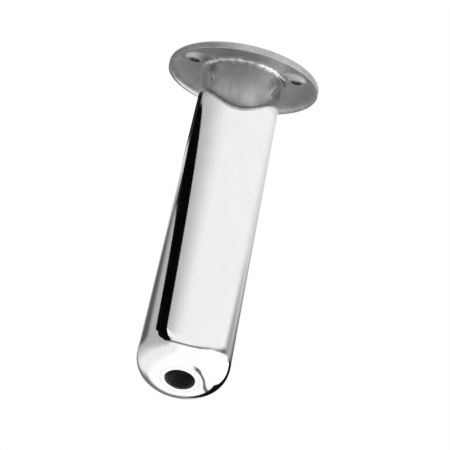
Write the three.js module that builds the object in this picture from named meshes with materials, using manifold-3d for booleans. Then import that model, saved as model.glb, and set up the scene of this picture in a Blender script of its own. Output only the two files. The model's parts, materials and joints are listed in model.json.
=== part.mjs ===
// A flush-mount fishing-rod holder, leaning 30 degrees, in millimetres with +Z up.
// The origin is the middle of the oval flange, on the plane of the deck it is screwed to.
// The tube runs down through the deck and leans towards -Y.

import * as THREE from 'three';
import { mergeVertices } from 'three/addons/utils/BufferGeometryUtils.js';
import Module from 'manifold-3d';

const wasm = await Module();
wasm.setup();

// Layout
const LEAN = THREE.MathUtils.degToRad(30);
const AXIS_HEIGHT = 6.4; // the tube's axis crosses the middle of the flange this far above the deck
const AXIS_LENGTH = 246.5; // from that crossing down the axis to the flat bottom
const GAP = 0.3; // between pieces that are welded or pushed together

// Flange: an oval whose length and width differ by STRETCH at every level
const FLANGE_HALF_LENGTH = 60.9;
const FLANGE_HALF_WIDTH = 48.2;
const STRETCH = FLANGE_HALF_LENGTH - FLANGE_HALF_WIDTH;
const RIM_HEIGHT = 4.6;
const RIM_ROUND = 2;
const CROWN_HEIGHT = 7.5;
const LIP_WIDTH = 1.6;
const LIP_DRAFT = 0.4;
const RECESS_DEPTH = 4.1;
const RECESS_WALL = 1; // height of the recess's drafted wall, below its curve
const RECESS_CURVE = 2.7; // how far in from that wall the curve's control point lies
const RECESS_FLAT_R = 30; // the recess ceiling is flat inside this radius

// Countersunk screw holes: two beside the leaning tube and one behind it
const SCREW_PLACES = [
  [-32.3, -20],
  [32.3, -20],
  [0, 46],
];
const SCREW_HOLE_R = 3.3;
const SINK_BOTTOM = 3;
const SINK_HEIGHT = 5; // taller than the crown, so that the 90 degree sink breaks through it
const BOSS_BOTTOM = 0.9;
const BOSS_TOP = 4.6;
const BOSS_SMALL_R = 5.2;
const BOSS_LARGE_R = 8.4;

// Tube and end cap
const TUBE_R = 25.4;
const TUBE_WALL = 1.5;
const BORE_R = TUBE_R - TUBE_WALL;
const CORNER_R = 13;
const BOTTOM = -AXIS_LENGTH;
const SEAM = BOTTOM + CORNER_R; // where the end cap's round corner begins
const SEAM_WELD = 2;

// Threaded drain bushing
const BUSHING_R = 10.6;
const BUSHING_LENGTH = 11;
const THREAD_LARGE_R = 8.33;
const THREAD_SMALL_R = 7.48;
const THREAD_PITCH = 1.337;
const TAP_OVERLAP = 0.05; // how far the tap's roots lie inside the blank's hole
const TAP_LEAD = 1.5; // turns of the tap before the bushing's face

// Gimbal pin, across the bore
const PIN_R = 4;
const PIN_RISE = 30; // above the flat bottom
const PIN_HALF_LENGTH = 23.2;

// Liner
const LINER_WALL = 2.3;
const LINER_R = BORE_R - GAP;
const LINER_BORE_R = LINER_R - LINER_WALL;
const LINER_RISE = 40; // its lower end, above the flat bottom
const LINER_LIP_R = 27.6;
const LINER_LIP = 1.8;

// Weld beads
const FLANGE_BEAD = 2.8;
const BUSHING_BEAD = 2.5;
const BEAD_BULGE = 0.7; // place of a bead's control point, as a share of its leg

// Facets
const ROUND = 48;
const OVAL = 64;
const SMALL_ROUND = 16;
const CURVE_STEPS = 3;
const CLEAR = 1; // how far a cutting shape starts outside the face it cuts
const FAR = 80; // clear of everything, for the ends of cutting shapes

const MATERIALS = {
  cast: { color: 0x85888b, roughness: 0.42, metalness: 1 },
  polished: { color: 0xe2e4e6, roughness: 0.06, metalness: 1 },
  bead: { color: 0xb3b2ae, roughness: 0.28, metalness: 1 },
  turned: { color: 0xbfc1c3, roughness: 0.2, metalness: 1 },
  vinyl: { color: 0xe9e9e4, roughness: 0.5, metalness: 0 },
};

// ---- Solids -------------------------------------------------------------------------------

function solidOf(geometry) {
  const bare = geometry.clone();
  bare.deleteAttribute('normal');
  bare.deleteAttribute('uv');
  const merged = mergeVertices(bare, 1e-4);
  const corners = merged.index.array;
  const triVerts = [];
  for (let i = 0; i < corners.length; i += 3) {
    const [a, b, c] = corners.slice(i, i + 3);
    if (a !== b && b !== c && c !== a) triVerts.push(a, b, c);
  }
  return new wasm.Manifold(new wasm.Mesh({
    numProp: 3,
    vertProperties: new Float32Array(merged.attributes.position.array),
    triVerts: new Uint32Array(triVerts),
  }));
}

function geometryOf(solid) {
  const mesh = solid.getMesh();
  const geometry = new THREE.BufferGeometry();
  geometry.setAttribute('position', new THREE.BufferAttribute(mesh.vertProperties, 3));
  geometry.setIndex(new THREE.BufferAttribute(mesh.triVerts, 1));
  geometry.computeVertexNormals();
  return geometry;
}

// Moves each point of a geometry with a function that changes it in place.
function bend(geometry, move) {
  const points = geometry.attributes.position;
  const point = new THREE.Vector3();
  for (let i = 0; i < points.count; i++) {
    point.fromBufferAttribute(points, i);
    move(point);
    points.setXYZ(i, point.x, point.y, point.z);
  }
  return geometry;
}

// A profile in (radius, height), drawn outwards, up and back in, turned about Z.
function turned(path, segments) {
  return new THREE.LatheGeometry(path.getPoints(CURVE_STEPS), segments).rotateX(Math.PI / 2);
}

function ring(innerR, outerR, low, high) {
  return new THREE.Path()
    .moveTo(innerR, low)
    .lineTo(outerR, low)
    .lineTo(outerR, high)
    .lineTo(innerR, high)
    .lineTo(innerR, low);
}

// An upright cylinder or cone between two heights.
function post(lowR, highR, low, high, segments) {
  return new THREE.CylinderGeometry(highR, lowR, high - low, segments)
    .rotateX(Math.PI / 2)
    .translate(0, 0, (low + high) / 2);
}

// Turns a round shape into the flange's oval.
function ovalOf(geometry) {
  return bend(geometry, (point) => {
    const radius = Math.hypot(point.x, point.y);
    if (radius > 1e-6) point.y += (STRETCH * point.y) / radius;
  });
}

// From the tube's frame, whose Z runs up its axis, to the deck's.
function leaned(geometry) {
  return geometry.rotateX(-LEAN).translate(0, 0, AXIS_HEIGHT);
}

// In the tube's frame, the height up the axis of the deck-parallel plane at a height.
function mitreHeight(height, y) {
  return (height - AXIS_HEIGHT) / Math.cos(LEAN) + y * Math.tan(LEAN);
}

// ---- Flange -------------------------------------------------------------------------------

const CROWN_EDGE_R = FLANGE_HALF_WIDTH - RIM_ROUND;

function flangeBlank() {
  const profile = new THREE.Path()
    .moveTo(0, 0)
    .lineTo(FLANGE_HALF_WIDTH, 0)
    .lineTo(FLANGE_HALF_WIDTH, RIM_HEIGHT - RIM_ROUND)
    .absarc(CROWN_EDGE_R, RIM_HEIGHT - RIM_ROUND, RIM_ROUND, 0, Math.PI / 2, false)
    .quadraticCurveTo(CROWN_EDGE_R / 2, CROWN_HEIGHT, 0, CROWN_HEIGHT);
  return solidOf(ovalOf(turned(profile, OVAL)));
}

function recess() {
  const mouth = FLANGE_HALF_WIDTH - LIP_WIDTH;
  const wallTop = mouth - LIP_DRAFT;
  const profile = new THREE.Path()
    .moveTo(0, -CLEAR)
    .lineTo(mouth, -CLEAR)
    .lineTo(mouth, 0)
    .lineTo(wallTop, RECESS_WALL)
    .quadraticCurveTo(wallTop - RECESS_CURVE, RECESS_DEPTH, RECESS_FLAT_R, RECESS_DEPTH)
    .lineTo(0, RECESS_DEPTH);
  return solidOf(ovalOf(turned(profile, OVAL)));
}

function makeFlange() {
  let flange = flangeBlank().subtract(recess());
  for (const [x, y] of SCREW_PLACES) {
    const boss = post(BOSS_SMALL_R, BOSS_LARGE_R, BOSS_BOTTOM, BOSS_TOP, SMALL_ROUND);
    const hole = post(SCREW_HOLE_R, SCREW_HOLE_R, -CLEAR, FAR, SMALL_ROUND);
    const sinkTopR = SCREW_HOLE_R + SINK_HEIGHT;
    const sinkTop = SINK_BOTTOM + SINK_HEIGHT;
    const sink = post(SCREW_HOLE_R, sinkTopR, SINK_BOTTOM, sinkTop, SMALL_ROUND);
    flange = flange
      .add(solidOf(boss.translate(x, y, 0)))
      .subtract(solidOf(hole.translate(x, y, 0)))
      .subtract(solidOf(sink.translate(x, y, 0)));
  }
  const mouth = leaned(post(BORE_R, BORE_R, -FAR, FAR, ROUND));
  return flange.subtract(solidOf(mouth));
}

// The bead between the tube and the recess ceiling: a ring round the tube, sheared into the deck's plane.
function makeFlangeWeld() {
  const innerR = TUBE_R + GAP;
  const bulge = BEAD_BULGE * FLANGE_BEAD;
  const profile = new THREE.Path()
    .moveTo(innerR, -FLANGE_BEAD)
    .quadraticCurveTo(innerR + bulge, -bulge, innerR + FLANGE_BEAD, 0)
    .lineTo(innerR, 0)
    .lineTo(innerR, -FLANGE_BEAD);
  const bead = bend(turned(profile, ROUND), (point) => {
    point.z += mitreHeight(RECESS_DEPTH - GAP, point.y);
  });
  return solidOf(bead);
}

// ---- Tube, end cap and gimbal pin, in the tube's frame --------------------------------------

function crossBar(radius, start, end) {
  return post(radius, radius, start, end, SMALL_ROUND)
    .rotateY(Math.PI / 2)
    .translate(0, 0, BOTTOM + PIN_RISE);
}

function tubeBlank() {
  const low = SEAM + SEAM_WELD + 2 * GAP;
  return solidOf(bend(turned(ring(BORE_R, TUBE_R, low, 0), ROUND), (point) => {
    if (point.z > low / 2) point.z = mitreHeight(RECESS_DEPTH - GAP, point.y);
  }));
}

function makeTube() {
  return tubeBlank().subtract(solidOf(crossBar(PIN_R + GAP, -FAR, FAR)));
}

function makeGimbalPin() {
  return solidOf(crossBar(PIN_R, -PIN_HALF_LENGTH, PIN_HALF_LENGTH));
}

// The plug of weld that fills the tube's hole at one end of the pin.
function makePinWeld(side) {
  const reach = crossBar(PIN_R, Math.min(0, side * FAR), Math.max(0, side * FAR));
  return tubeBlank().intersect(solidOf(reach));
}

function makeEndCap() {
  const holeR = BUSHING_R + GAP;
  const flatR = TUBE_R - CORNER_R;
  const profile = new THREE.Path()
    .moveTo(holeR, BOTTOM)
    .lineTo(flatR, BOTTOM)
    .absarc(flatR, SEAM, CORNER_R, -Math.PI / 2, 0, false)
    .lineTo(BORE_R, SEAM)
    .absarc(flatR, SEAM, CORNER_R - TUBE_WALL, 0, -Math.PI / 2, true)
    .lineTo(holeR, BOTTOM + TUBE_WALL)
    .lineTo(holeR, BOTTOM);
  return solidOf(turned(profile, ROUND));
}

function makeCapWeld() {
  return solidOf(turned(ring(BORE_R, TUBE_R, SEAM + GAP, SEAM + GAP + SEAM_WELD), ROUND));
}

// ---- Drain bushing ----------------------------------------------------------------------------

// A screw of the thread's shape, which cuts the thread. Each turn is a strip from root to crest and
// a strip from crest to the root of the next turn, and a fan to the axis closes each end.
function tap(low, turns) {
  const crests = turns * SMALL_ROUND;
  const points = [];
  const faces = [];
  const put = (radius, angle, z) => points.push(radius * Math.cos(angle), radius * Math.sin(angle), z);
  for (let step = 0; step <= crests + SMALL_ROUND; step++) {
    const angle = (step / SMALL_ROUND) * 2 * Math.PI;
    const z = low + (step / SMALL_ROUND) * THREAD_PITCH;
    put(THREAD_SMALL_R - TAP_OVERLAP, angle, z);
    put(THREAD_LARGE_R, angle, z + THREAD_PITCH / 2);
  }
  const root = (step) => 2 * step;
  const crest = (step) => 2 * step + 1;
  const quad = (a, b, c, d) => faces.push(a, b, c, a, c, d);
  for (let step = 0; step < crests; step++) {
    quad(root(step), root(step + 1), crest(step + 1), crest(step));
    const above = step + SMALL_ROUND;
    quad(crest(step), crest(step + 1), root(above + 1), root(above));
  }
  const foot = points.length / 3;
  put(0, 0, low);
  const head = points.length / 3;
  put(0, 0, low + (turns + 1) * THREAD_PITCH);
  for (let step = 0; step < SMALL_ROUND; step++) {
    faces.push(foot, root(step + 1), root(step));
    faces.push(head, root(crests + step), root(crests + step + 1));
  }
  faces.push(foot, crest(0), root(SMALL_ROUND), foot, root(0), crest(0));
  faces.push(head, root(crests + SMALL_ROUND), crest(crests), head, crest(crests), root(crests));
  const geometry = new THREE.BufferGeometry();
  geometry.setAttribute('position', new THREE.Float32BufferAttribute(points, 3));
  geometry.setIndex(faces);
  return geometry;
}

function makeDrainBushing() {
  const blank = turned(ring(THREAD_SMALL_R, BUSHING_R, BOTTOM, BOTTOM + BUSHING_LENGTH), 2 * SMALL_ROUND);
  const turns = Math.ceil(BUSHING_LENGTH / THREAD_PITCH + TAP_LEAD);
  const thread = tap(BOTTOM - TAP_LEAD * THREAD_PITCH, turns);
  const chamferTop = BOTTOM + THREAD_LARGE_R - THREAD_SMALL_R;
  const wideR = THREAD_LARGE_R + CLEAR;
  const mouth = post(wideR, THREAD_SMALL_R, BOTTOM - CLEAR, chamferTop, 2 * SMALL_ROUND);
  return solidOf(blank).subtract(solidOf(thread)).subtract(solidOf(mouth));
}

// The bead inside the cap that holds the bushing.
function makeBushingWeld() {
  const innerR = BUSHING_R + GAP;
  const low = BOTTOM + TUBE_WALL + GAP;
  const bulge = BEAD_BULGE * BUSHING_BEAD;
  const profile = new THREE.Path()
    .moveTo(innerR, low)
    .lineTo(innerR + BUSHING_BEAD, low)
    .quadraticCurveTo(innerR + bulge, low + bulge, innerR, low + BUSHING_BEAD)
    .lineTo(innerR, low);
  return solidOf(turned(profile, 2 * SMALL_ROUND));
}

// ---- Liner --------------------------------------------------------------------------------------

// Everything over the flange's crown, from a given height above its surface.
function spaceOver(raise) {
  const profile = new THREE.Path()
    .moveTo(0, CROWN_HEIGHT + raise)
    .quadraticCurveTo(CROWN_EDGE_R / 2, CROWN_HEIGHT + raise, CROWN_EDGE_R, RIM_HEIGHT + raise)
    .lineTo(CROWN_EDGE_R, FAR)
    .lineTo(0, FAR);
  return solidOf(ovalOf(turned(profile, OVAL)));
}

// A sleeve down the bore, with a lip that lies on the crown.
function makeLiner() {
  const sleeve = leaned(post(LINER_R, LINER_R, BOTTOM + LINER_RISE, FAR / 2, ROUND));
  const lip = leaned(post(LINER_LIP_R, LINER_LIP_R, -TUBE_R, FAR / 2, ROUND));
  const bore = leaned(post(LINER_BORE_R, LINER_BORE_R, 2 * BOTTOM, FAR, ROUND));
  return solidOf(lip)
    .intersect(spaceOver(GAP))
    .add(solidOf(sleeve))
    .subtract(spaceOver(GAP + LINER_LIP))
    .subtract(solidOf(bore));
}

// ---- Assembly -----------------------------------------------------------------------------------

function addPiece(group, name, solid, finish) {
  const mesh = new THREE.Mesh(geometryOf(solid), new THREE.MeshStandardMaterial(MATERIALS[finish]));
  mesh.name = name;
  group.add(mesh);
}

const rodHolder = new THREE.Group();
addPiece(rodHolder, 'flange', makeFlange(), 'cast');
addPiece(rodHolder, 'liner', makeLiner(), 'vinyl');

const body = new THREE.Group();
body.position.z = AXIS_HEIGHT;
body.rotation.x = -LEAN;
rodHolder.add(body);
addPiece(body, 'tube', makeTube(), 'polished');
addPiece(body, 'flange_weld', makeFlangeWeld(), 'bead');
addPiece(body, 'gimbal_pin', makeGimbalPin(), 'turned');
addPiece(body, 'pin_weld_left', makePinWeld(-1), 'bead');
addPiece(body, 'pin_weld_right', makePinWeld(1), 'bead');
addPiece(body, 'end_cap', makeEndCap(), 'polished');
addPiece(body, 'cap_weld', makeCapWeld(), 'bead');
addPiece(body, 'drain_bushing', makeDrainBushing(), 'turned');
addPiece(body, 'bushing_weld', makeBushingWeld(), 'bead');

export default rodHolder;
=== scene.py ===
"""A flush-mount fishing-rod holder, seen from below and in front: a satin cast flange on a
mirror-polished tube that leans 30 degrees, closed by a round-cornered cap with a threaded drain.

Everything is in metres, in the row's frame: the deck plane is z = 0 and the tube leans towards -Y.
"""

import json
import math

import bpy
import numpy as np
from mathutils import Matrix, Quaternion, Vector


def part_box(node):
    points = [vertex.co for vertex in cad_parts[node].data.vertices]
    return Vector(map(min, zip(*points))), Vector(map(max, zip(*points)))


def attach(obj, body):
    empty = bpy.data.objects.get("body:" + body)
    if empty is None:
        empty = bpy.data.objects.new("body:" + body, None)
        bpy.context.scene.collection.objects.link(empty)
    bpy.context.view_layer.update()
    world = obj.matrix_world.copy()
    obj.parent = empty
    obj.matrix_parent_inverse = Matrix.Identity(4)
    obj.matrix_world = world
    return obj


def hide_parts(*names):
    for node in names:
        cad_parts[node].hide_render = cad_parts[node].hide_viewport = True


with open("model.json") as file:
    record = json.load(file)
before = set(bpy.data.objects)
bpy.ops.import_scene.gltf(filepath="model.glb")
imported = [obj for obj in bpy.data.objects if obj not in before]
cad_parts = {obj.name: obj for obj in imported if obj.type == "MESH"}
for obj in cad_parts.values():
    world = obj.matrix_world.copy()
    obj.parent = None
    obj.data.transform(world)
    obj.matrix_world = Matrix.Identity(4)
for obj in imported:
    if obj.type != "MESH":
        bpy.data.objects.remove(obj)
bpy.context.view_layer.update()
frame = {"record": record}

MM = 0.001

# ---- Places and sizes, from the frame -----------------------------------------------------------

mounts = {mount["name"]: mount for mount in frame["record"]["mounts"]}
drain_face = mounts["drain_face"]
flange_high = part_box("flange")[1]
tube_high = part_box("tube")[1]

AXIS_UP = -Vector(drain_face["axis"]).normalized()
LEAN = math.atan2(AXIS_UP.y, AXIS_UP.z)
END_POINT = Vector((0, drain_face["pos_m"][1], drain_face["pos_m"][2]))
AXIS_LENGTH = -END_POINT.y / AXIS_UP.y
AXIS_HEIGHT = END_POINT.z + AXIS_LENGTH * AXIS_UP.z  # where the axis crosses the flange's middle

HALF_WIDTH = flange_high.x
STRETCH = flange_high.y - flange_high.x  # the oval's length less its width, at every level
TUBE_R = tube_high.x

# ---- Sizes of the parts' own details ------------------------------------------------------------

RIM_HEIGHT = 4.6 * MM
RIM_ROUND = 2.0 * MM
CROWN_HEIGHT = 7.5 * MM
LIP_WIDTH = 1.6 * MM
LIP_DRAFT = 0.4 * MM
RECESS_DEPTH = 4.1 * MM
RECESS_WALL = 1.0 * MM
RECESS_CURVE = 2.7 * MM
RECESS_FLAT_R = 30 * MM
LIP_ROUND_OUT = 0.3 * MM
LIP_ROUND_IN = 0.35 * MM

SCREW_PLACES = [(-32.3 * MM, -20 * MM), (32.3 * MM, -20 * MM), (0, 46 * MM)]
SCREW_HOLE_R = 3.3 * MM
SINK_BOTTOM = 3.0 * MM
BOSS_BOTTOM = 0.9 * MM
BOSS_SMALL_R = 5.2 * MM
BOSS_SLOPE = 3.7 / 3.2
BOSS_BLEND = 2.2 * MM
BOSS_TOE = 0.35 * MM  # how softly a boss's cone starts
SINK_REACH = 6 * MM  # how far the cutter's cone goes on past the crown

TUBE_WALL = 1.5 * MM
BORE_R = TUBE_R - TUBE_WALL
CORNER_R = 13 * MM
BOTTOM = -AXIS_LENGTH
SEAM = BOTTOM + CORNER_R
SEAM_WELD = 2.6 * MM
CORNER_REACH = 15.2 * MM  # the pressed corner starts and ends a little gentler than an arc
CORNER_POWER = 2.4
CAP_HOLE_CLEAR = 0.1 * MM  # no row of the cap's outside lies closer to its hole

# the polishing wheel does not reach the last of the tube by the flange
NECK_DULL = 0.3
NECK_SPAN = (-40 * MM, -9 * MM)
TINT_SPAN = (-44 * MM, -25 * MM)

BUSHING_R = 10.6 * MM
BUSHING_LENGTH = 11 * MM
THREAD_LARGE_R = 8.33 * MM
THREAD_SMALL_R = 7.48 * MM
THREAD_PITCH = 1.337 * MM
THREAD_STEEP = 1.25  # flanks steeper than a plain V, for flats at the crests and roots
# below this depth the drain's thread is painted dark, as shade
THREAD_LIT = 0.15 * MM  # depth of the bright edge at the thread's mouth
LAND_EDGE = 0.12 * MM
BUSHING_EDGE = 0.3 * MM

PIN_R = 4 * MM
PIN_RISE = 30 * MM
PIN_HALF_LENGTH = 23.6 * MM
PIN_EDGE = 0.4 * MM
PLUG_R = PIN_R - 0.03 * MM
PLUG_EDGE = 0.1 * MM

LINER_R = BORE_R - 0.3 * MM
LINER_BORE_R = LINER_R - 2.3 * MM
LINER_RISE = 40 * MM
LINER_LIP_R = 27.6 * MM
LINER_LIP = 1.7 * MM
LINER_SEAT = 0.3 * MM
LINER_SOFT = 0.8 * MM
LINER_ROOT = 0.25 * MM
LINER_TOE = 0.4 * MM
LINER_END = 0.5 * MM
LINER_COLLAR = 8 * MM  # the sleeve's stretch that still follows the crown
LINER_TIP = 5 * MM  # and the one at its lower end

FLANGE_BEAD = 2.4 * MM
FLANGE_POOLS = 46
BUSHING_BEAD = 2.6 * MM
BUSHING_POOLS = 34
BURIED = 0.1 * MM  # how far a weld bead reaches into what it joins

FINE = 288  # segments round the tube


# ---- Mesh tools ---------------------------------------------------------------------------------

def unit(vector):
    return vector / np.linalg.norm(vector)


def rounded(corners, steps=4):
    """A closed outline from (r, z, rounding radius) corners, with an arc at each rounded one."""
    places = [np.array(corner[:2]) for corner in corners]
    outline = []
    for i, (_, _, radius) in enumerate(corners):
        here = places[i]
        if radius == 0:
            outline.append(here)
            continue
        back = unit(places[i - 1] - here)
        ahead = unit(places[(i + 1) % len(places)] - here)
        half = math.acos(np.clip(back @ ahead, -1, 1)) / 2
        centre = here + unit(back + ahead) * radius / math.sin(half)
        start = here + back * radius / math.tan(half) - centre
        end = here + ahead * radius / math.tan(half) - centre
        sweep = math.pi - 2 * half
        for t in np.linspace(0, 1, steps + 1):
            spin = start * math.sin((1 - t) * sweep) + end * math.sin(t * sweep)
            outline.append(centre + spin / math.sin(sweep))
    return np.array(outline)


def arc(centre, radius, start, end, steps):
    """Points on an arc between two angles in degrees."""
    angles = np.radians(np.linspace(start, end, steps + 1))
    return [(centre[0] + radius * math.cos(a), centre[1] + radius * math.sin(a)) for a in angles]


def round_angles(count):
    return np.linspace(0, 2 * math.pi, count, endpoint=False)


def ring(radius, height, angles):
    """A ring of points about Z, whose radius and height may each vary round it."""
    height = np.broadcast_to(height, angles.shape)
    return np.stack([radius * np.cos(angles), radius * np.sin(angles), height], axis=-1)


def turn(outline, segments=FINE):
    """A closed (r, z) outline turned about Z, as a grid of points: outline by angle."""
    angles = round_angles(segments)
    return np.array([ring(radius, height, angles) for radius, height in outline])


def leaned(points):
    """From the tube's frame, whose Z runs up its axis, to the row's."""
    x, y, z = points[..., 0], points[..., 1], points[..., 2]
    return np.stack([
        x,
        y * math.cos(LEAN) + z * math.sin(LEAN),
        AXIS_HEIGHT - y * math.sin(LEAN) + z * math.cos(LEAN),
    ], axis=-1)


def mitre(height, y):
    """How far up the tube's axis the deck-parallel plane at a height lies, off the axis by y."""
    return (height - AXIS_HEIGHT) / math.cos(LEAN) + y * math.tan(LEAN)


def ring_mesh(name, grid):
    """A mesh from a grid that closes on itself both ways."""
    rows, columns = grid.shape[:2]
    i = np.arange(rows)[:, None]
    j = np.arange(columns)[None, :]
    next_i = (i + 1) % rows
    next_j = (j + 1) % columns
    faces = np.stack([
        i * columns + j,
        i * columns + next_j,
        next_i * columns + next_j,
        next_i * columns + j,
    ], axis=-1).reshape(-1, 4)
    mesh = bpy.data.meshes.new(name)
    mesh.from_pydata(grid.reshape(-1, 3).tolist(), [], faces.tolist())
    return mesh


def round_mesh(name, outline, segments):
    """A mesh from an open (r, z) outline that starts and ends on the axis."""
    grid = turn(outline[1:-1], segments)
    rows = len(grid)
    points = grid.reshape(-1, 3).tolist() + [(0, 0, outline[0][1]), (0, 0, outline[-1][1])]
    faces = []
    for j in range(segments):
        k = (j + 1) % segments
        for i in range(rows - 1):
            low, high = i * segments, (i + 1) * segments
            faces.append((low + j, low + k, high + k, high + j))
        faces.append((rows * segments, k, j))
        faces.append((rows * segments + 1, (rows - 1) * segments + j, (rows - 1) * segments + k))
    mesh = bpy.data.meshes.new(name)
    mesh.from_pydata(points, [], faces)
    return mesh


def piece(mesh, material, node=None, sharp=40, weighted=True):
    """An object of the assembly, smooth except over sharp edges, that stands for a CAD node."""
    mesh.polygons.foreach_set("use_smooth", [True] * len(mesh.polygons))
    mesh.set_sharp_from_angle(angle=math.radians(sharp))
    mesh.materials.clear()
    mesh.materials.append(material)
    made = bpy.data.objects.new(mesh.name, mesh)
    bpy.context.scene.collection.objects.link(made)
    if weighted:
        normals = made.modifiers.new("normals", "WEIGHTED_NORMAL")
        normals.keep_sharp = True
    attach(made, "root")
    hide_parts(node)
    return made


def recolour(made, material, chosen):
    """Gives a piece's faces another material where chosen(face centre, face normal) holds."""
    made.data.materials.append(material)
    for face in made.data.polygons:
        if chosen(face.center, face.normal):
            face.material_index = len(made.data.materials) - 1


def in_tube(point):
    """Radius from the tube's axis and height up it, of a point in the row's frame."""
    off = Vector(point) - Vector((0, 0, AXIS_HEIGHT))
    height = off.dot(AXIS_UP)
    return (off - height * AXIS_UP).length, height


def carve(mesh, cutters):
    """The mesh less each cutter mesh."""
    body = bpy.data.objects.new("carved", mesh)
    bpy.context.scene.collection.objects.link(body)
    tools = []
    for cutter in cutters:
        tool = bpy.data.objects.new("cutter", cutter)
        bpy.context.scene.collection.objects.link(tool)
        tools.append(tool)
        modifier = body.modifiers.new("cut", "BOOLEAN")
        modifier.operation = "DIFFERENCE"
        modifier.solver = "EXACT"
        modifier.object = tool
    bpy.context.view_layer.update()
    depsgraph = bpy.context.evaluated_depsgraph_get()
    result = bpy.data.meshes.new_from_object(body.evaluated_get(depsgraph))
    for made in [body] + tools:
        bpy.data.objects.remove(made)
    result.name = mesh.name + "_cut"
    return result


# ---- Materials ----------------------------------------------------------------------------------

class Finish:
    """A Principled material with short calls for its texture nodes."""

    def __init__(self, name, colour, metallic, roughness):
        self.material = bpy.data.materials.new(name)
        self.material.use_nodes = True
        self.tree = self.material.node_tree
        self.shader = self.tree.nodes["Principled BSDF"]
        self.shader.inputs["Base Color"].default_value = (*colour, 1)
        self.shader.inputs["Metallic"].default_value = metallic
        self.shader.inputs["Roughness"].default_value = roughness
        self.place = self.node("ShaderNodeTexCoord").outputs["Object"]

    def node(self, kind, **settings):
        made = self.tree.nodes.new(kind)
        for key, value in settings.items():
            setattr(made, key, value)
        return made

    def link(self, output, socket):
        self.tree.links.new(output, socket)

    def stretched(self, scale, turn_by=(0, 0, 0)):
        """Object coordinates, turned and then scaled."""
        mapping = self.node("ShaderNodeMapping")
        mapping.inputs["Scale"].default_value = scale
        mapping.inputs["Rotation"].default_value = turn_by
        self.link(self.place, mapping.inputs["Vector"])
        return mapping.outputs["Vector"]

    def noise(self, size, detail=3, place=None, rough=0.5):
        """Noise with features of about the given size in metres."""
        made = self.node("ShaderNodeTexNoise")
        made.inputs["Scale"].default_value = 1 / size
        made.inputs["Detail"].default_value = detail
        made.inputs["Roughness"].default_value = rough
        self.link(place or self.place, made.inputs["Vector"])
        return made.outputs["Fac"]

    def span(self, value, low, high, start=0.3, end=0.7):
        """Maps a value from start..end to low..high."""
        made = self.node("ShaderNodeMapRange")
        made.inputs["From Min"].default_value = start
        made.inputs["From Max"].default_value = end
        made.inputs["To Min"].default_value = low
        made.inputs["To Max"].default_value = high
        self.link(value, made.inputs["Value"])
        return made.outputs["Result"]

    def total(self, first, second):
        """The sum of two values."""
        made = self.node("ShaderNodeMath", operation="ADD")
        self.link(first, made.inputs[0])
        self.link(second, made.inputs[1])
        return made.outputs[0]

    def colours(self, value, stops):
        """Colours the surface by a value, from (position, colour) stops."""
        ramp = self.node("ShaderNodeValToRGB")
        points = ramp.color_ramp.elements
        while len(points) < len(stops):
            points.new(0.5)
        for point, (position, colour) in zip(points, stops):
            point.position = position
            point.color = (*colour, 1)
        self.link(value, ramp.inputs["Fac"])
        self.link(ramp.outputs["Color"], self.shader.inputs["Base Color"])

    def bump(self, height, depth):
        """Adds relief of a depth in metres, on top of any relief already there."""
        made = self.node("ShaderNodeBump")
        made.inputs["Distance"].default_value = depth
        self.link(height, made.inputs["Height"])
        normal = self.shader.inputs["Normal"]
        if normal.is_linked:
            self.link(normal.links[0].from_socket, made.inputs["Normal"])
        self.link(made.outputs["Normal"], normal)


def polished_steel():
    """Mirror-polished tube: faint lengthwise lines and smears, duller close to the flange."""
    finish = Finish("polished_steel", (0.86, 0.865, 0.87), 1, 0.05)
    along = finish.stretched((1, 1, 0.02), (LEAN, 0, 0))
    lines = finish.noise(0.35 * MM, 2, along)
    smears = finish.noise(14 * MM, 4, rough=0.6)
    apart = finish.node("ShaderNodeSeparateXYZ")
    finish.link(finish.stretched((1, 1, 1), (LEAN, 0, 0)), apart.inputs["Vector"])
    height = apart.outputs["Z"]
    neck_dull = finish.span(height, 0, NECK_DULL, *NECK_SPAN)
    dull = finish.total(finish.span(smears, 0.03, 0.07), neck_dull)
    finish.link(dull, finish.shader.inputs["Roughness"])
    tint = finish.total(finish.span(smears, 0, 0.2), finish.span(height, 0, 0.8, *TINT_SPAN))
    finish.colours(tint, [
        (0, (0.875, 0.88, 0.885)),
        (0.2, (0.84, 0.843, 0.845)),
        (1, (0.49, 0.46, 0.44)),
    ])
    finish.bump(lines, 0.0006 * MM)
    return finish.material


def cast_steel():
    """Satin cast flange: blasted grain, faint mottling and duller patches."""
    finish = Finish("cast_steel", (0.4, 0.405, 0.41), 1, 0.42)
    mottle = finish.noise(9 * MM, 5, rough=0.6)
    grain = finish.noise(0.45 * MM, 3, rough=0.65)
    pits = finish.noise(1.3 * MM, 4, rough=0.55)
    finish.colours(mottle, [(0.3, (0.38, 0.385, 0.39)), (0.7, (0.51, 0.515, 0.515))])
    finish.link(finish.span(pits, 0.34, 0.52), finish.shader.inputs["Roughness"])
    finish.bump(pits, 0.05 * MM)
    finish.bump(grain, 0.03 * MM)
    return finish.material


def weld_steel():
    """Bright as-welded bead with a tint of heat in its hollows."""
    finish = Finish("weld_steel", (0.6, 0.59, 0.57), 1, 0.3)
    patches = finish.noise(2.6 * MM, 4, rough=0.6)
    grain = finish.noise(0.4 * MM, 3)
    finish.colours(patches, [
        (0.32, (0.3, 0.285, 0.265)),
        (0.5, (0.52, 0.51, 0.49)),
        (0.7, (0.78, 0.78, 0.77)),
    ])
    finish.link(finish.span(patches, 0.42, 0.2), finish.shader.inputs["Roughness"])
    finish.bump(grain, 0.05 * MM)
    return finish.material


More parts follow.
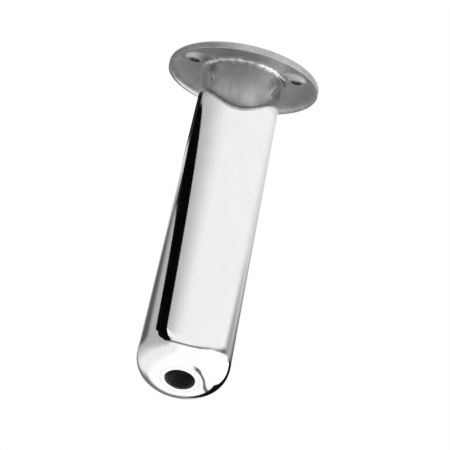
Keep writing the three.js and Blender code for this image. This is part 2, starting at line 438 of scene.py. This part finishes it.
def turned_steel():
    """Machined bushing: fine grain, a little worn."""
    finish = Finish("turned_steel", (0.42, 0.425, 0.43), 1, 0.16)
    wear = finish.noise(2.5 * MM, 4, rough=0.6)
    finish.colours(wear, [(0.3, (0.34, 0.345, 0.35)), (0.7, (0.5, 0.505, 0.51))])
    finish.link(finish.span(wear, 0.12, 0.26), finish.shader.inputs["Roughness"])
    finish.bump(finish.noise(0.25 * MM, 2), 0.008 * MM)
    return finish.material


def painted_shade_steel(name, tone):
    """Unpolished cut or cast steel, dull, coloured near black: painted shade for the insides of
    holes and threads, where little light reaches.
    """
    finish = Finish(name, (tone, tone, tone), 1, 0.4)
    blotches = finish.noise(1.1 * MM, 4, rough=0.6)
    # the blotches vary the painted shade's darkness at random
    finish.colours(blotches, [(0.3, (tone * 0.6,) * 3), (0.7, (tone * 1.3,) * 3)])
    finish.link(finish.span(blotches, 0.5, 0.28), finish.shader.inputs["Roughness"])
    finish.bump(blotches, 0.02 * MM)
    return finish.material


def drawn_steel():
    """Drawn bar for the pin: lines along X."""
    finish = Finish("drawn_steel", (0.66, 0.67, 0.68), 1, 0.24)
    lines = finish.noise(0.3 * MM, 3, finish.stretched((0.03, 1, 1)))
    finish.link(finish.span(lines, 0.18, 0.34), finish.shader.inputs["Roughness"])
    finish.colours(lines, [(0.3, (0.58, 0.59, 0.6)), (0.7, (0.72, 0.725, 0.73))])
    finish.bump(lines, 0.01 * MM)
    return finish.material


def liner_vinyl():
    """Soft white vinyl: faint mould texture and scuffs inside the bore."""
    finish = Finish("liner_vinyl", (0.86, 0.86, 0.83), 0, 0.45)
    cloud = finish.noise(12 * MM, 4, rough=0.6)
    scuffs = finish.noise(1.2 * MM, 4, finish.stretched((1, 1, 0.06), (LEAN, 0, 0)))
    finish.colours(cloud, [(0.3, (0.8, 0.8, 0.765)), (0.7, (0.88, 0.88, 0.86))])
    finish.link(finish.span(scuffs, 0.36, 0.6), finish.shader.inputs["Roughness"])
    finish.bump(scuffs, 0.02 * MM)
    finish.shader.inputs["Specular IOR Level"].default_value = 0.45
    return finish.material


# ---- Flange -------------------------------------------------------------------------------------

CROWN_EDGE_R = HALF_WIDTH - RIM_ROUND
RECESS_MOUTH_R = HALF_WIDTH - LIP_WIDTH
RECESS_WALL_R = RECESS_MOUTH_R - LIP_DRAFT


def oval_radius(x, y):
    """The half-width of the flange's oval that passes through a point."""
    radius = np.hypot(x, y)
    for _ in range(30):  # steps, each a little short, to the oval through the point
        over = (x / radius) ** 2 + (y / (radius + STRETCH)) ** 2
        radius = np.maximum(radius * (1 + (np.sqrt(over) - 1) * 0.9), 1e-5)
    return radius


def oval_point(radius, angles):
    """Points of the oval of a half-width."""
    return radius * np.cos(angles), (radius + STRETCH) * np.sin(angles)


def bezier(a, b, c, steps=200):
    """Points on a quadratic curve from a to c, drawn towards b."""
    t = np.linspace(0, 1, steps + 1)[:, None]
    return (1 - t) ** 2 * np.array(a) + 2 * t * (1 - t) * np.array(b) + t ** 2 * np.array(c)


CROWN_CURVE = bezier(
    (0, CROWN_HEIGHT),
    (CROWN_EDGE_R / 2, CROWN_HEIGHT),
    (CROWN_EDGE_R, RIM_HEIGHT),
)
CEILING_CURVE = bezier(
    (RECESS_FLAT_R, RECESS_DEPTH),
    (RECESS_WALL_R - RECESS_CURVE, RECESS_DEPTH),
    (RECESS_WALL_R, RECESS_WALL),
)


def crown(x, y):
    """The height of the flange's top."""
    return np.interp(oval_radius(x, y), CROWN_CURVE[:, 0], CROWN_CURVE[:, 1])


def ceiling(x, y):
    """The height of the recess's ceiling, with the bosses under the screw holes blended in."""
    height = np.interp(oval_radius(x, y), CEILING_CURVE[:, 0], CEILING_CURVE[:, 1])
    for screw_x, screw_y in SCREW_PLACES:
        off = np.hypot(x - screw_x, y - screw_y)
        toe = np.maximum(off - BOSS_SMALL_R, 0)
        soft = np.sqrt(toe ** 2 + BOSS_TOE ** 2) - BOSS_TOE
        boss = BOSS_BOTTOM + BOSS_SLOPE * soft
        near = np.clip(0.5 + 0.5 * (height - boss) / BOSS_BLEND, 0, 1)
        height = height * (1 - near) + boss * near - BOSS_BLEND * near * (1 - near)
    return height


def mouth_point(height, angles):
    """The edge of the leaning bore at a height."""
    x = BORE_R * np.cos(angles)
    y = (height - AXIS_HEIGHT) * math.tan(LEAN) + BORE_R / math.cos(LEAN) * np.sin(angles)
    return x, y


def flange_grid(columns=480):
    """The flange without its screw holes, as rows of points round the oval."""
    angles = round_angles(columns)
    rows = []

    def add(x, y, z):
        rows.append(np.stack([x, y, np.broadcast_to(z, x.shape)], axis=-1))

    def add_oval(radius, z):
        x, y = oval_point(radius, angles)
        add(x, y, z)

    def spread(surface, edge_radius, start, end, steps):
        """Rows on a surface, from and to shares of the way from the bore to an oval."""
        inner_z = RECESS_DEPTH if surface is ceiling else CROWN_HEIGHT
        for _ in range(3):  # settles where the leaning bore meets the surface
            inner_x, inner_y = mouth_point(inner_z, angles)
            inner_z = surface(inner_x, inner_y)
        outer_x, outer_y = oval_point(edge_radius, angles)
        for t in np.linspace(start, end, steps + 1):
            x = inner_x * (1 - t) + outer_x * t
            y = inner_y * (1 - t) + outer_y * t
            add(x, y, surface(x, y))

    # from the bore over the crown, down the rim, round the lip and back under the ceiling; the
    # crown's rows stop just short of the rim's arc, and the ceiling's start just off its wall
    spread(crown, CROWN_EDGE_R, 0, 0.985, steps=44)
    for r, z in arc((CROWN_EDGE_R, RIM_HEIGHT - RIM_ROUND), RIM_ROUND, 90, 0, steps=10):
        add_oval(r, z)
    lip = rounded([
        (HALF_WIDTH, RIM_HEIGHT - RIM_ROUND, 0),
        (HALF_WIDTH, 0, LIP_ROUND_OUT),
        (RECESS_MOUTH_R, 0, LIP_ROUND_IN),
        (RECESS_WALL_R, RECESS_WALL, 0),
    ])
    for r, z in lip[1:]:
        add_oval(r, z)
    spread(ceiling, RECESS_WALL_R, 0.995, 0, steps=56)
    return np.array(rows)[::-1]


def screw_cutter(x, y):
    """A tool in the shape of a countersunk screw, from below the flange to above it."""
    low, high = -1 * MM, 20 * MM
    outline = [
        (0, low),
        (SCREW_HOLE_R, low),
        (SCREW_HOLE_R, SINK_BOTTOM),
        (SCREW_HOLE_R + SINK_REACH, SINK_BOTTOM + SINK_REACH),
        (SCREW_HOLE_R + SINK_REACH, high),
        (0, high),
    ]
    mesh = round_mesh("screw_cutter", outline, 96)
    mesh.transform(Matrix.Translation((x, y, 0)))
    return mesh


def make_flange(material, hole_shade_material):
    """The cast flange, its screw holes painted dark inside as shade."""
    blank = ring_mesh("flange_blank", flange_grid())
    mesh = carve(blank, [screw_cutter(x, y) for x, y in SCREW_PLACES])
    mesh.name = "cast_flange"
    made = piece(mesh, material, "flange", sharp=50)

    def in_hole(centre, normal):
        near = SCREW_HOLE_R + 0.05 * MM
        upright = abs(normal.z) < 0.3
        return upright and any(
            math.hypot(centre.x - x, centre.y - y) < near for x, y in SCREW_PLACES)

    # the walls of the screw holes get painted shade, near black
    recolour(made, hole_shade_material, in_hole)


def make_flange_weld(material, columns=900, across=18):
    """The fillet bead, laid in overlapping pools round the tube in the deck's plane."""
    angles = round_angles(columns)
    # the pools differ in length, and the bead in thickness
    phase = angles * FLANGE_POOLS + 1.7 * np.sin(5 * angles) + 1.1 * np.sin(13 * angles + 1)
    uneven = 1 + 0.16 * np.sin(4 * angles + 2) + 0.1 * np.sin(9 * angles + 0.6)
    leg = FLANGE_BEAD * (0.9 + 0.1 * uneven)
    rows = []
    for share in np.linspace(0, 1, across + 1):
        ripple = 0.5 + 0.5 * np.cos(phase - 5 * share * (1 - share))
        bulge = (0.1 + 0.24 * uneven + 0.05 * ripple ** 2) * MM
        out = math.sin(math.pi * share) * bulge * 0.7  # its part along each leg
        radius = TUBE_R + leg * share + out - BURIED * (1 - share)
        drop = leg * (1 - share) + out - BURIED * share
        rows.append(ring(radius, -drop, angles))
    rows.append(ring(TUBE_R - BURIED, BURIED, angles))
    grid = np.array(rows)
    grid[..., 2] += mitre(RECESS_DEPTH, grid[..., 1])
    piece(ring_mesh("fillet_weld", leaned(grid)), material, "flange_weld", sharp=60)


# ---- Tube and cap -------------------------------------------------------------------------------

def radial_normals(mesh):
    """Sets exact normals on the polished outside, so that its reflections run straight."""
    near_surface, faces_out = 1e-5, 0.98
    axis = np.array(AXIS_UP)
    foot = np.array((0, 0, AXIS_HEIGHT))
    points = np.array([v.co for v in mesh.vertices])
    off = points - foot
    off -= (off @ axis)[:, None] * axis
    distance = np.linalg.norm(off, axis=1)
    outward = off / np.maximum(distance, 1e-9)[:, None]
    normals = np.array([corner.vector for corner in mesh.corner_normals])
    for face in mesh.polygons:
        face_normal = np.array(face.normal)
        for k in face.loop_indices:
            v = mesh.loops[k].vertex_index
            if abs(distance[v] - TUBE_R) < near_surface and face_normal @ outward[v] > faces_out:
                normals[k] = outward[v]
    mesh.normals_split_custom_set(normals)


def cross_bar(name, outline, segments=96):
    """A round bar along X at the gimbal pin's height, from its (r, z) outline."""
    mesh = round_mesh(name, outline, segments)
    centre = leaned(np.array([0, 0, BOTTOM + PIN_RISE]))
    turned = Matrix.Rotation(math.pi / 2, 4, "Y")
    lean = Matrix.Rotation(-LEAN, 4, "X")
    mesh.transform(Matrix.Translation(Vector(centre)) @ lean @ turned)
    return mesh


def make_tube(material):
    low = SEAM + SEAM_WELD
    past = 80 * MM  # a drill well past both sides
    outline = [(BORE_R, low), (TUBE_R, low)]
    outline += [(TUBE_R, low * (1 - t)) for t in (0.25, 0.5, 0.75)]
    outline += [(TUBE_R, 0), (BORE_R, 0)]
    grid = turn(outline)
    top = grid[..., 2] == 0
    grid[..., 2][top] = mitre(RECESS_DEPTH, grid[..., 1][top])
    drill = cross_bar("bar", [(0, -past), (PIN_R, -past), (PIN_R, past), (0, past)])
    mesh = carve(ring_mesh("tube_blank", leaned(grid)), [drill])
    mesh.name = "polished_tube"
    made = piece(mesh, material, "tube", weighted=False)
    radial_normals(made.data)


def corner_line(steps=64):
    """The cap's outside from its flat end up to the tube, as (radius, height) points."""
    turn_by = np.linspace(0, math.pi / 2, steps + 1)
    out = np.sin(turn_by) ** (2 / CORNER_POWER)
    drop = np.cos(turn_by) ** (2 / CORNER_POWER)
    radius = TUBE_R + CORNER_REACH * (out - 1)
    return np.stack([radius, BOTTOM + CORNER_REACH * (1 - drop)], axis=-1)


def make_end_cap(material):
    line = corner_line()
    shown = (line[:, 0] > BUSHING_R + CAP_HOLE_CLEAR) & (line[:, 1] < SEAM)
    outside = line[shown].tolist()
    seam_r = np.interp(SEAM, line[:, 1], line[:, 0])
    outline = [(BUSHING_R, BOTTOM)] + outside + [(seam_r, SEAM)]
    outline += arc((TUBE_R - CORNER_R, SEAM), CORNER_R - TUBE_WALL, 0, -90, steps=20)
    outline += [(BUSHING_R, BOTTOM + TUBE_WALL)]
    mesh = ring_mesh("domed_cap", leaned(turn(outline)))
    piece(mesh, material, "end_cap", sharp=60)


def make_cap_weld(material):
    line = corner_line()
    heights = np.linspace(SEAM, SEAM + SEAM_WELD, 6)
    outside = [(np.interp(z, line[:, 1], line[:, 0]), z) for z in heights]
    outline = [(BORE_R, SEAM)] + outside + [(BORE_R, SEAM + SEAM_WELD)]
    piece(ring_mesh("seam_weld", leaned(turn(outline))), material, "cap_weld")


def thread_radius(height, angles):
    """The drain's V thread with rounded crests and roots, opening into a chamfer at its mouth."""
    turns = (height - BOTTOM) / THREAD_PITCH - angles / (2 * math.pi)
    wave = 2 * np.abs(turns - np.floor(turns) - 0.5)
    wave = np.clip((wave - 0.5) * THREAD_STEEP + 0.5, 0, 1)
    eased = wave * wave * (3 - 2 * wave)
    wave = eased * 0.5 + wave * 0.5
    radius = THREAD_SMALL_R + (THREAD_LARGE_R - THREAD_SMALL_R) * wave
    chamfer = THREAD_LARGE_R - (height - BOTTOM)
    return np.maximum(radius, chamfer)


def make_drain_bushing(material, land_material, thread_shade_material, columns=160, steps_a_turn=14):
    """The threaded bushing, its end ground with the cap and its thread painted dark inside as
    shade, below a lit edge at its mouth.
    """
    angles = round_angles(columns)
    top = BOTTOM + BUSHING_LENGTH
    land_start = THREAD_LARGE_R + 0.5 * MM
    outer = rounded([
        (land_start, BOTTOM, 0),
        (BUSHING_R, BOTTOM, LAND_EDGE),
        (BUSHING_R, top, BUSHING_EDGE),
        (land_start, top, 0),
    ])
    rows = [ring(r, z, angles) for r, z in outer]
    count = round(BUSHING_LENGTH / THREAD_PITCH * steps_a_turn)
    for z in np.linspace(top, BOTTOM, count + 1):
        rows.append(ring(thread_radius(z, angles), z, angles))
    mesh = ring_mesh("threaded_bushing", leaned(np.array(rows)))
    made = piece(mesh, material, "drain_bushing", sharp=45)

    def in_thread(centre, _):
        radius, height = in_tube(centre)
        return radius < THREAD_LARGE_R and height > BOTTOM + THREAD_LIT

    def in_land(_, normal):
        return normal.dot(AXIS_UP) < -0.99

    # the thread below its lit edge gets painted shade, near black
    recolour(made, thread_shade_material, in_thread)
    recolour(made, land_material, in_land)


def make_bushing_weld(material, columns=480, across=12):
    """The bead round the bushing, inside the cap."""
    angles = round_angles(columns)
    phase = angles * BUSHING_POOLS + 0.7 * np.sin(4 * angles)
    floor = BOTTOM + TUBE_WALL
    rows = []
    for share in np.linspace(0, 1, across + 1):
        ripple = 0.5 + 0.5 * np.cos(phase - 3 * share)
        out = math.sin(math.pi * share) * (0.3 * MM + 0.15 * MM * ripple)
        radius = BUSHING_R + BUSHING_BEAD * (1 - share) + out
        rows.append(ring(radius, floor + BUSHING_BEAD * share + out, angles))
    rows.append(ring(BUSHING_R - BURIED, floor - BURIED, angles))
    mesh = ring_mesh("inner_weld", leaned(np.array(rows)))
    piece(mesh, material, "bushing_weld", sharp=60)


def make_gimbal_pin(material):
    outline = [
        (0, -PIN_HALF_LENGTH),
        (PIN_R - PIN_EDGE, -PIN_HALF_LENGTH),
        (PIN_R, -PIN_HALF_LENGTH + PIN_EDGE),
        (PIN_R, PIN_HALF_LENGTH - PIN_EDGE),
        (PIN_R - PIN_EDGE, PIN_HALF_LENGTH),
        (0, PIN_HALF_LENGTH),
    ]
    piece(cross_bar("cross_pin", outline), material, "gimbal_pin", sharp=50)


def make_pin_weld(name, side, material, node, columns=96):
    """A plug in the tube's wall, its outer face on the tube's curve."""
    edge = rounded([
        (PLUG_R * 0.9, TUBE_R, 0),
        (PLUG_R, TUBE_R, PLUG_EDGE),
        (PLUG_R, BORE_R, 0),
    ], steps=3)
    outline = [(0, TUBE_R)] + [(PLUG_R * t, TUBE_R) for t in (0.25, 0.5, 0.75)]
    outline += edge[1:].tolist() + [(0, BORE_R)]
    mesh = round_mesh(name, outline[::-1], columns)
    points = np.array([v.co for v in mesh.vertices])
    across, along, level = points[:, 0], points[:, 1], points[:, 2]
    curved = np.sqrt(np.maximum(level ** 2 - across ** 2, 0))
    placed = np.stack([side * curved, -side * across, along + BOTTOM + PIN_RISE], axis=-1)
    mesh.vertices.foreach_set("co", leaned(placed).ravel())
    mesh.update()
    piece(mesh, material, node, sharp=50)


def make_liner(material, columns=240):
    """A sleeve down the bore with a soft lip over the crown."""
    angles = round_angles(columns)
    # the lip, as (radius, height over the crown's surface)
    lip = rounded([
        (LINER_R, LINER_SEAT - LINER_COLLAR, 0),
        (LINER_R, LINER_SEAT, LINER_ROOT),
        (LINER_LIP_R, LINER_SEAT, LINER_TOE),
        (LINER_LIP_R, LINER_SEAT + LINER_LIP, LINER_SOFT),
        (LINER_BORE_R, LINER_SEAT + LINER_LIP, LINER_SOFT),
        (LINER_BORE_R, LINER_SEAT - LINER_COLLAR, 0),
    ], steps=6)
    rows = []
    for radius, over in lip:
        z = mitre(CROWN_HEIGHT + over, radius * np.sin(angles))
        for _ in range(4):  # settles up the axis until it is that far over the crown
            place = leaned(ring(radius, z, angles))
            z = z + (crown(place[:, 0], place[:, 1]) + over - place[:, 2]) / math.cos(LEAN)
        rows.append(ring(radius, z, angles))
    low = BOTTOM + LINER_RISE
    end = rounded([
        (LINER_BORE_R, low + LINER_TIP, 0),
        (LINER_BORE_R, low, LINER_END),
        (LINER_R, low, LINER_END),
        (LINER_R, low + LINER_TIP, 0),
    ])
    rows += [ring(radius, z, angles) for radius, z in end]
    mesh = ring_mesh("vinyl_liner", leaned(np.array(rows)))
    piece(mesh, material, "liner", sharp=60)


# ---- Camera, light and stage --------------------------------------------------------------------

# angles in degrees, the azimuth from +Y towards +X
CAMERA_PLACE = Vector((-12.8, -908.5, -298.2)) * MM
CAMERA_AZIMUTH = 1.35
CAMERA_ELEVATION = 12.74
CAMERA_ROLL = 12.52
CAMERA_LENS = 120
CAMERA_SENSOR = 36

FLOOR_LEVEL = -2.5
FLOOR_HALF = 8
STUDIO_MIDDLE = Vector((0, -0.06, -0.11))
STUDIO_R = 2.2
PANEL_COOL = 1.03  # a panel's blue over its red and green


def place_camera():
    data = bpy.data.cameras.new("camera")
    data.lens = CAMERA_LENS
    data.sensor_width = CAMERA_SENSOR
    data.clip_start = 0.01
    data.clip_end = 50
    camera = bpy.data.objects.new("camera", data)
    bpy.context.scene.collection.objects.link(camera)
    azimuth = math.radians(CAMERA_AZIMUTH)
    elevation = math.radians(CAMERA_ELEVATION)
    forward = Vector((
        math.sin(azimuth) * math.cos(elevation),
        math.cos(azimuth) * math.cos(elevation),
        math.sin(elevation),
    ))
    roll = Quaternion((0, 0, 1), math.radians(CAMERA_ROLL))
    camera.rotation_mode = "QUATERNION"
    camera.rotation_quaternion = forward.to_track_quat("-Z", "Y") @ roll
    camera.location = CAMERA_PLACE
    bpy.context.scene.camera = camera


def stage_object(name, mesh, material):
    """An object of the studio, which is no part of the assembly."""
    mesh.materials.append(material)
    made = bpy.data.objects.new(name, mesh)
    bpy.context.scene.collection.objects.link(made)
    return made


def make_floor():
    mesh = bpy.data.meshes.new("floor")
    corners = [(x * FLOOR_HALF, y * FLOOR_HALF, FLOOR_LEVEL)
               for x, y in ((-1, -1), (1, -1), (1, 1), (-1, 1))]
    mesh.from_pydata(corners, [], [(0, 1, 2, 3)])
    material = bpy.data.materials.new("floor_paper")
    material.use_nodes = True
    shader = material.node_tree.nodes["Principled BSDF"]
    shader.inputs["Base Color"].default_value = (0.98, 0.98, 0.98, 1)
    shader.inputs["Roughness"].default_value = 1
    stage_object("floor", mesh, material)


def panel_material(name, tone):
    """A grey that shows where the mesh's cover is 1 and is clear where it is 0."""
    material = bpy.data.materials.new(name)
    material.use_nodes = True
    nodes, links = material.node_tree.nodes, material.node_tree.links
    nodes.clear()
    cover = nodes.new("ShaderNodeAttribute")
    cover.attribute_name = "cover"
    grey = nodes.new("ShaderNodeEmission")
    grey.inputs["Color"].default_value = (tone, tone, tone * PANEL_COOL, 1)
    mix = nodes.new("ShaderNodeMixShader")
    links.new(cover.outputs["Fac"], mix.inputs[0])
    links.new(nodes.new("ShaderNodeBsdfTransparent").outputs[0], mix.inputs[1])
    links.new(grey.outputs[0], mix.inputs[2])
    links.new(mix.outputs[0], nodes.new("ShaderNodeOutputMaterial").inputs["Surface"])
    return material


def panel(name, low_edge, high_edge, tone, ends=(0, 0), edges=(0, 0), steps=(48, 24)):
    """A studio panel between two lines of points, which shows only in reflections.

    ends and edges are the shares of its length and height over which it fades out, at the start
    and end of its lines and at its low and high edge.
    """
    along = np.linspace(0, 1, steps[0] + 1)
    up = np.linspace(0, 1, steps[1] + 1)

    def line(corners):
        corners = np.array([tuple(corner) for corner in corners])
        marks = np.linspace(0, 1, len(corners))
        return np.stack([np.interp(along, marks, corners[:, k]) for k in range(3)], axis=-1)

    def fade(t, start, end):
        rise = np.clip(t / start, 0, 1) if start else np.ones_like(t)
        fall = np.clip((1 - t) / end, 0, 1) if end else np.ones_like(t)
        both = np.minimum(rise, fall)
        return both * both * (3 - 2 * both)

    low, high = line(low_edge), line(high_edge)
    grid = low[:, None] + (high - low)[:, None] * up[None, :, None]
    cover = fade(along, *ends)[:, None] * fade(up, *edges)[None, :]
    rows, columns = cover.shape
    corner = np.arange(rows - 1)[:, None] * columns + np.arange(columns - 1)[None, :]
    faces = np.stack([corner, corner + columns, corner + columns + 1, corner + 1], axis=-1)
    mesh = bpy.data.meshes.new(name)
    mesh.from_pydata(grid.reshape(-1, 3).tolist(), [], faces.reshape(-1, 4).tolist())
    mesh.attributes.new("cover", "FLOAT", "POINT").data.foreach_set("value", cover.ravel())
    made = stage_object(name, mesh, panel_material(name, tone))
    made.visible_camera = False
    made.visible_diffuse = False
    made.visible_shadow = False


def sky(azimuth, elevation):
    """A place round the object, by degrees from +Y towards +X and degrees up."""
    azimuth, elevation = math.radians(azimuth), math.radians(elevation)
    return STUDIO_MIDDLE + STUDIO_R * Vector((
        math.sin(azimuth) * math.cos(elevation),
        math.cos(azimuth) * math.cos(elevation),
        math.sin(elevation),
    ))


def band(azimuths, elevations, count=25):
    """A line of places through matching azimuths and elevations, with more filled in between."""
    given = range(len(azimuths))
    marks = np.linspace(0, len(azimuths) - 1, count)
    return [sky(np.interp(t, given, azimuths), np.interp(t, given, elevations)) for t in marks]


def make_studio():
    """The white panels and the darker gaps between them, which the polished steel mirrors.

    A tone of 1 is as bright as the world's white.
    """
    # the black gap along the left, between the side panel and the ceiling panel, which curves
    # down in front
    side_edge = [(-2, 2.9, 1.15), (-2, 0.2, 1.15), (-2, -0.2, 0.88),
                 (-1.95, -0.6, 0.65), (-1.8, -1, 0.43), (-1.65, -1.45, 0.1)]
    ceiling_edge = [(-0.46, 0.7, 0.32), (-0.46, -0.16, 0.32), (-0.46, -0.25, 0.26),
                    (-0.45, -0.39, 0.16), (-0.41, -0.54, 0.02), (-0.38, -0.61, -0.09)]
    panel("left_gap", side_edge, ceiling_edge, 0.002, ends=(0, 0.04), steps=(120, 12))
    panel("left_gap_back",
          band([-37, -30, -23, -12, 2], [21.6, 21, 19.8, 16.5, 14]),
          band([-40, -35, -28, -14, 2], [28.5, 27, 27, 27, 27]),
          0.002, ends=(0, 0.04))
    # the front of that gap, thin and grey, round to the right
    front = [227, 209, 192, 174, 151, 128, 112]
    panel("front_gap",
          band(front, [1, -4, -9, -11, -6, 2, 6]),
          band(front, [17, 12, 7, 5, 10, 20, 26]),
          0.2, ends=(0.02, 0.3), edges=(0.45, 0.45))
    # the ceiling panel falls off towards the gap
    panel("ceiling_fall",
          [(-0.47, -0.85, 0.322), (-0.47, 0.62, 0.322)],
          [(-0.06, -0.85, 0.322), (-0.06, 0.62, 0.322)],
          0.54, ends=(0.5, 0.1), edges=(0, 1))
    # the side panel is greyer towards its top and has a dusky back end
    panel("left_panel",
          [(-2.05, -3.5, -1.55), (-2.05, 5, -1.55)],
          [(-2.05, -3.5, 1.2), (-2.05, 5, 1.2)],
          0.5, ends=(0.2, 0.1), edges=(0.6, 0))
    panel("left_dusk",
          band([-74, -12], [3, -4]),
          band([-72, -12], [25, 25]),
          0.11, ends=(0.48, 0.36), edges=(0.45, 0.35))
    # hot panels on the right, in front and below
    panel("right_panel",
          [(2.1, -3.2, -2.4), (2.1, 2.6, -2.4)],
          [(2.1, -3.2, 0.6), (2.1, 2.6, 0.6)],
          2.2, ends=(0, 0.1), edges=(0, 0.1))
    panel("front_panel",
          [(-1.6, -3.2, -2.4), (2.1, -3.2, -2.4)],
          [(-1.6, -3.2, 0.9), (2.1, -3.2, 0.9)],
          1.15, ends=(0.3, 0), edges=(0, 0.4))
    panel("low_panel",
          [(-1.5, -3.2, -2.4), (-1.5, 2.4, -2.4)],
          [(2.1, -3.2, -2.4), (2.1, 2.4, -2.4)],
          1.15, ends=(0, 0.1), edges=(0.3, 0))
    # the dark corner behind and to the right
    panel("back_gap",
          band([-3, 48], [-50, -50]),
          band([18, 50], [17, 17]),
          0.004, ends=(0.15, 0.1), edges=(0.1, 0.2))
    panel("behind",
          band([-46, 14], [-56, -56]),
          band([-42, 12], [6, 6]),
          0.2, ends=(0.35, 0.2), edges=(0.3, 0.2))
    # its slit, down to and across the floor
    panel("back_slit",
          band([24, 23, 16, 16, 80], [-46, -58, -70.5, -78, -86]),
          band([31, 31, 30, 38, 96], [-46, -58, -67.5, -74, -81]),
          0.17, ends=(0, 0.1), edges=(0.25, 0.25))
    # the right of the ceiling falls off, down to the grey gap along the right
    panel("right_dusk",
          band([12, 70], [6, 6]),
          band([12, 70], [33, 33]),
          0.55, ends=(0.1, 0.3), edges=(0, 0.9))
    right = [36, 50, 68, 90, 113, 136, 160, 185]
    panel("right_gap",
          band(right, [9, 11, 12, 10, 7, 2, -5, -10]),
          band(right, [20, 25, 29, 28, 25, 20, 13, 7]),
          0.13, ends=(0.08, 0.8), edges=(0.45, 0.45))


def make_light():
    world = bpy.data.worlds.new("studio")
    bpy.context.scene.world = world
    world.use_nodes = True
    background = world.node_tree.nodes["Background"]
    background.inputs["Color"].default_value = (1, 1, 1, 1)
    background.inputs["Strength"].default_value = 1.0
    bpy.context.scene.view_settings.view_transform = "Standard"


# ---- Assembly -----------------------------------------------------------------------------------

place_camera()
make_light()
make_floor()
make_studio()

polished = polished_steel()
cast = cast_steel()
welded = weld_steel()

make_flange(cast, painted_shade_steel("screw_hole_painted_shade", 0.05))
make_flange_weld(welded)
make_tube(polished)
make_cap_weld(polished)
make_end_cap(polished)
make_drain_bushing(turned_steel(), polished, painted_shade_steel("thread_painted_shade", 0.045))
make_bushing_weld(welded)
make_gimbal_pin(drawn_steel())
make_pin_weld("pin_plug_left", -1, polished, "pin_weld_left")
make_pin_weld("pin_plug_right", 1, polished, "pin_weld_right")
make_liner(liner_vinyl())
